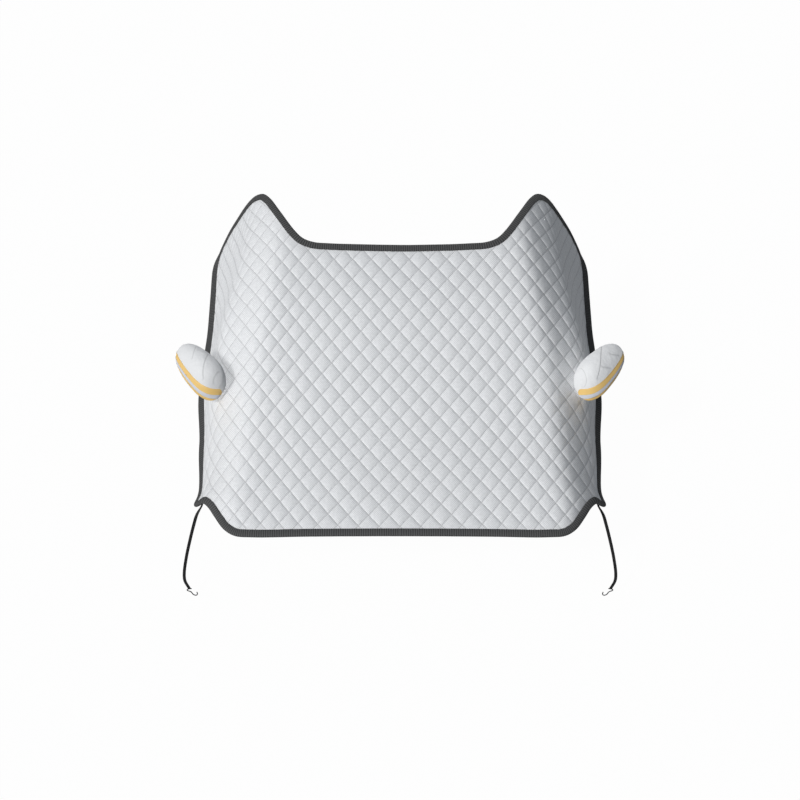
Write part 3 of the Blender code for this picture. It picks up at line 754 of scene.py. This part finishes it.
def build_binding(look):
    """The folded tape lofted round the hem."""
    section = np.array(BINDING_SECTION)
    share = ((section[:, 0] - EDGE_INSET) / (STRIP_INSET - EDGE_INSET))[:, None, None]
    places = edge_ring * (1 - share) + strip_ring * share
    points = on_cover(places[..., 0], places[..., 1], section[:, 1][:, None])
    length = run_of(np.vstack([hem_places, hem_places[:1]]))
    along = length[:-1]
    around = run_of(section)
    tape = np.stack(np.meshgrid(along, around), -1).reshape(-1, 2)
    faces = net_faces(len(edge_ring), len(section), wrap_columns=True, wrap_rows=True)[:, ::-1]
    obj = new_mesh("edge_binding_tape", points.reshape(-1, 3), faces, look, (("tape", tape),))
    layer = obj.data.uv_layers["tape"].data
    spots = np.empty(len(layer) * 2)
    layer.foreach_get("uv", spots)
    spots = spots.reshape(-1, 4, 2)
    joining = np.ptp(spots[..., 0], axis=1) > 0.5 * length[-1]
    spots[joining, :, 0] += np.where(spots[joining, :, 0] < 0.5 * length[-1], length[-1], 0.0)
    layer.foreach_set("uv", spots.ravel())
    across, along = np.tile(hem_places, (len(section), 1)).T
    at_side = np.clip((np.abs(across) - SIDE_TAPE_START) / SIDE_TAPE_RISE, 0, 1)
    at_side = at_side * np.clip((SIDE_TAPE_END - along) / ALONG_RISE, 0, 1)
    at_rear = np.clip((along - REAR_TAPE_START) / ALONG_RISE, 0, 1) * (1 - at_side)
    sideways = np.sign(across) * SIDE_TAPE_TURN * at_side
    toward = np.stack([sideways, -REAR_TAPE_TURN * at_rear, 0 * along], 1)
    soften_shading(obj, 1.0, toward)
    return obj


def pouch_frame(side):
    """Unit vectors of a pouch: along its axis, to its front and to its top."""
    sweep = math.radians(POUCH_SWEEP)
    axis = np.array([math.cos(sweep), math.sin(sweep), 0.0])
    front = np.array([math.sin(sweep), -math.cos(sweep), 0.0])
    top = np.array([0.0, 0.0, 1.0])
    flip = np.array([side, 1.0, 1.0])
    return axis * flip, front * flip, top * flip


def on_pouch(side, share, angle, height=0.0):
    """The point at a share of the axis (-1 to 1) and an angle round it, at a height."""
    axis, front, top = pouch_frame(side)
    middle = np.array(POUCH_MIDDLE) * [side, 1, 1]
    share = np.asarray(share, float)
    height = np.asarray(height, float)
    angle = np.asarray(angle, float) + math.radians(POUCH_TWIST) * (1 + share) ** 2
    ring = np.clip(1 - np.abs(share) ** POUCH_FULLNESS, 0, 1) ** (1 / POUCH_FULLNESS)
    ring = ring * (1 - POUCH_TAPER * share)
    a = (POUCH_RADII[0] + height) * share
    b = (POUCH_RADII[1] + height) * ring * np.cos(angle)
    c = (POUCH_RADII[2] + height) * ring * np.sin(angle)
    return middle + a[..., None] * axis + b[..., None] * front + c[..., None] * top


def pouch_folds(share, angle):
    """Soft folds and wrinkles of the pouch cloth, as heights."""
    flat = zip(np.ravel(share), np.ravel(angle))
    long, round_it, level = POUCH_FOLDS
    waves = [noise.noise(Vector((long * s, round_it * math.cos(a), round_it * math.sin(a) + level)))
             for s, a in flat]
    return POUCH_FOLD * np.array(waves).reshape(np.shape(share))


def build_pouch(side, name, look):
    """A pouch whose wall is let in to the cover where it meets it, and open on that side."""
    columns, rows = POUCH_NET
    turn = np.linspace(0, 2 * math.pi, columns, endpoint=False)
    share = -np.cos(np.linspace(POUCH_CAP, math.pi - POUCH_CAP, rows))
    angle, share = np.meshgrid(turn, share)
    points = on_pouch(side, share, angle, pouch_folds(share, angle)).reshape(-1, 3)
    flipped = points * [side, 1, 1]
    off = field(flipped)
    faces = net_faces(columns, rows, wrap_columns=True)
    if side > 0:
        faces = faces[:, ::-1]
    caps = [np.arange(columns), (rows - 1) * columns + np.arange(columns)[::-1]]
    seat = POUCH_SEAT - POUCH_LET_IN
    kept = ~(off[faces] < seat).all(1)
    faces = faces[kept]
    caps = [cap if side > 0 else cap[::-1] for cap in caps if (off[cap] > seat).all()]
    low = off < seat
    slope = outward(flipped)
    moved = flipped + slope * ((seat - off) / (slope * slope).sum(-1))[:, None]
    points = np.where(low[:, None], moved, flipped) * [side, 1, 1]
    used = np.unique(np.concatenate([faces.ravel(), *caps]))
    number = np.full(len(points), -1)
    number[used] = np.arange(len(used))
    faces = [tuple(number[f]) for f in faces] + [tuple(number[c]) for c in caps]
    spots = np.stack([share.ravel(), angle.ravel() / (2 * math.pi)], 1)[used]
    obj = new_mesh(name, points[used], faces, look, (("pouch", spots),))
    soften_shading(obj, POUCH_SOFTNESS, POUCH_SOFT_WAY)
    return thickened(obj, POUCH_WALL, -1.0)


def band_place(along, off):
    """The share and angle on a pouch at an angle along the band and an angle off its upper edge."""
    x = np.cos(off) * np.cos(along)
    front = np.cos(off) * np.sin(along)
    beside = np.hypot(front, np.sin(off))
    size = (np.abs(x) ** POUCH_FULLNESS + beside ** POUCH_FULLNESS) ** (-1 / POUCH_FULLNESS)
    return x * size, np.arctan2(np.sin(off), front) + math.radians(BAND_ANGLE)


def build_band(side, name, edges, height, look):
    """A tape round the front of a pouch, between two angles off the band's upper edge."""
    columns, rows = BAND_NET
    along = np.linspace(*BAND_ENDS, columns)
    ends = np.minimum(along - BAND_ENDS[0], BAND_ENDS[1] - along) / BAND_ROUNDING
    full = np.sqrt(1 - (1 - np.clip(ends, BAND_END_SHARE, 1)) ** 2)
    middle = 0.5 * (edges[0] + edges[1])
    off = middle + 0.5 * (edges[1] - edges[0]) * np.linspace(-1, 1, rows)[:, None] * full
    along = np.tile(along, (rows, 1))
    share, turn = band_place(np.radians(along), np.radians(off))
    points = on_pouch(side, share, turn, pouch_folds(share, turn) + height).reshape(-1, 3)
    faces = net_faces(columns, rows)
    if side > 0:
        faces = faces[:, ::-1]
    obj = new_mesh(name, points, faces, look)
    soften_shading(obj, POUCH_SOFTNESS, POUCH_SOFT_WAY)
    return thickened(obj, TAPE_THICK, 1.0)


def strap_line(count):
    """Points on the middle line of the right strap, from under the corner down to the hook."""
    start = [on_cover(across, along, -depth, waved=False) for across, along, depth in STRAP_START]
    curve = fine_curve(np.vstack([start, STRAP_DROP]), False)
    return by_length(curve, count=count)


def build_strap(side, name, look):
    """A strap that leaves along the cover and then turns its flat side to the front."""
    line = strap_line(STRAP_NET[0])
    way = unit(np.gradient(line, axis=0))
    start, length, whole = STRAP_TURN
    turned = np.clip((np.linspace(0, whole, len(line)) - start) / length, 0, 1)[:, None]
    face = unit(outward(line)) * (1 - turned) + np.array([0.0, -1.0, 0.0]) * turned
    across = unit(np.cross(way, face))
    shares = np.linspace(-0.5, 0.5, STRAP_NET[1])
    points = line[None] + across[None] * shares[:, None, None] * STRAP_WIDTH
    points = points.reshape(-1, 3) * [side, 1, 1]
    obj = new_mesh(name, points, net_faces(len(line), len(shares)), look)
    return thickened(obj, STRAP_THICK, 0.0), line * [side, 1, 1]


def build_hook(side, name, look):
    """A bent round rod with a bar for the strap's end."""
    line = strap_line(STRAP_COARSE)
    way = unit(line[-1] - line[-2])
    wide = unit(np.cross([0.0, -1.0, 0.0], way))
    start = line[-1] + way * (HOOK_ROD + HOOK_GAP)
    points = np.array([start + wide * a + way * -b for a, b in HOOK_LINE]) * [side, 1, 1]
    points = by_length(fine_curve(points, False), count=HOOK_POINTS)
    curve = bpy.data.curves.new(name, "CURVE")
    curve.dimensions = "3D"
    curve.bevel_depth = HOOK_ROD
    curve.bevel_resolution = 4
    curve.use_fill_caps = True
    spline = curve.splines.new("POLY")
    spline.points.add(len(points) - 1)
    for spot, point in zip(spline.points, points):
        spot.co = (*point, 1.0)
    curve.materials.append(look)
    obj = bpy.data.objects.new(name, curve)
    bpy.context.scene.collection.objects.link(obj)
    return obj


def set_camera():
    rise = math.radians(CAMERA_ELEVATION)
    back = Vector((0.0, -math.cos(rise), math.sin(rise)))
    data = bpy.data.cameras.new("camera")
    data.lens = CAMERA_LENS
    data.sensor_width = 36.0
    data.clip_end = 100.0
    camera = bpy.data.objects.new("camera", data)
    camera.location = back * CAMERA_DISTANCE
    camera.rotation_euler = (math.radians(90.0 - CAMERA_ELEVATION), 0.0, 0.0)
    bpy.context.scene.collection.objects.link(camera)
    bpy.context.scene.camera = camera


def add_lamp(name, source, power, casts_shadow):
    data = bpy.data.lights.new(name, "SUN")
    data.energy = power
    data.angle = math.radians(LIGHT_SPREAD)
    data.use_shadow = casts_shadow
    lamp = bpy.data.objects.new(name, data)
    lamp.rotation_euler = Vector(source).to_track_quat("Z", "Y").to_euler()
    bpy.context.scene.collection.objects.link(lamp)


def set_light():
    add_lamp("side_light", SIDE_LIGHT_FROM, SIDE_LIGHT_POWER, False)
    add_lamp("top_light", TOP_LIGHT_FROM, TOP_LIGHT_POWER, True)
    world = bpy.data.worlds.new("world")
    bpy.context.scene.world = world
    world.use_nodes = True
    nodes, links = world.node_tree.nodes, world.node_tree.links
    sky = nodes["Background"]
    sky.inputs["Color"].default_value = SKY_COLOUR
    sky.inputs["Strength"].default_value = SKY_POWER
    white = nodes.new("ShaderNodeBackground")
    white.inputs["Color"].default_value = WHITE
    show_white(nodes, links, sky, white, nodes["World Output"])
    bpy.context.scene.view_settings.view_transform = "Standard"


def show_white(nodes, links, hidden, shown, output):
    """Give the camera and the rays let through by a material one shader, and the rest the other."""
    rays = nodes.new("ShaderNodeLightPath")
    either = nodes.new("ShaderNodeMath")
    either.operation = "MAXIMUM"
    join = nodes.new("ShaderNodeMixShader")
    links.new(rays.outputs["Is Camera Ray"], either.inputs[0])
    links.new(rays.outputs["Is Transmission Ray"], either.inputs[1])
    links.new(either.outputs[0], join.inputs[0])
    links.new(hidden.outputs[0], join.inputs[1])
    links.new(shown.outputs[0], join.inputs[2])
    links.new(join.outputs[0], output.inputs["Surface"])


def set_floor():
    """A plain pale floor that looks white to the camera but keeps a soft shadow."""
    material = bpy.data.materials.new("pale_floor")
    material.use_nodes = True
    nodes, links = material.node_tree.nodes, material.node_tree.links
    dull = nodes.new("ShaderNodeBsdfDiffuse")
    dull.inputs["Color"].default_value = grey(FLOOR_DULL)
    pale = nodes.new("ShaderNodeBsdfDiffuse")
    pale.inputs["Color"].default_value = grey(FLOOR_PALE)
    white = nodes.new("ShaderNodeEmission")
    white.inputs["Color"].default_value = WHITE
    shown = nodes.new("ShaderNodeMixShader")
    shown.inputs[0].default_value = FLOOR_GLOW
    links.new(pale.outputs[0], shown.inputs[1])
    links.new(white.outputs[0], shown.inputs[2])
    show_white(nodes, links, dull, shown, nodes["Material Output"])
    half = FLOOR_SIZE / 2
    square = ((-half, -half), (half, -half), (half, half), (-half, half))
    corners = [(x, y, FLOOR_HEIGHT) for x, y in square]
    new_mesh("pale_floor", corners, [(0, 1, 2, 3)], material, smooth=False)


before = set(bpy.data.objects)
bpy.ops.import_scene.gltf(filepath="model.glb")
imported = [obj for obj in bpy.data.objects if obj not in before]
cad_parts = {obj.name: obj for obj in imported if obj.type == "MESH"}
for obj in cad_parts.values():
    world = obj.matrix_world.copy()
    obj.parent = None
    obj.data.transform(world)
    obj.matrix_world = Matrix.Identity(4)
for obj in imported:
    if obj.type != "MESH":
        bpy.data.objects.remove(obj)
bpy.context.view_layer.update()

set_camera()
set_light()
set_floor()

quilt = quilt_look()
binding = binding_look()
pouch_cloths = {1: pouch_look(RIGHT_SHADED_SEAMS_AND_CREASES), -1: pouch_look(LEFT_SHADED_SEAMS_AND_CREASES)}
yellow = plain_look("yellow_reflective_tape", (0.84, 0.56, 0.19, 1.0), 0.5)
silver = plain_look("silver_reflective_tape", (0.64, 0.66, 0.72, 1.0), 0.45)
webbing = plain_look("black_elastic_webbing", grey(0.006), 0.8)
hook_plastic = plain_look("black_hook_plastic", grey(0.014), 0.4)

panel = build_panel(quilt)
tape = build_binding(binding)
for obj, node, slot in (
    (panel, "quilted_panel", "quilted_cloth"),
    (tape, "edge_binding", "binding_tape"),
):
    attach(obj, "root")
    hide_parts(node)

for side, hand in ((1, "right"), (-1, "left")):
    pouch = build_pouch(side, "mirror_cover_cloth_" + hand, pouch_cloths[side])
    band = build_band(side, "yellow_band_" + hand, TAPE_EDGES, TAPE_GAP, yellow)
    strip = build_band(side, "silver_band_" + hand, STRIP_EDGES, 2 * TAPE_GAP + TAPE_THICK, silver)
    strap, strap_path = build_strap(side, "strap_webbing_" + hand, webbing)
    hook = build_hook(side, "hook_rod_" + hand, hook_plastic)
    for obj, node, slot in (
        (pouch, "mirror_cover_" + hand, "pouch_cloth"),
        (band, "reflective_tape_" + hand, "yellow_tape"),
        (strip, "silver_strip_" + hand, "silver_tape"),
        (strap, "strap_" + hand, "webbing"),
        (hook, "hook_" + hand, "hook_plastic"),
    ):
        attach(obj, "root")
        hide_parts(node)
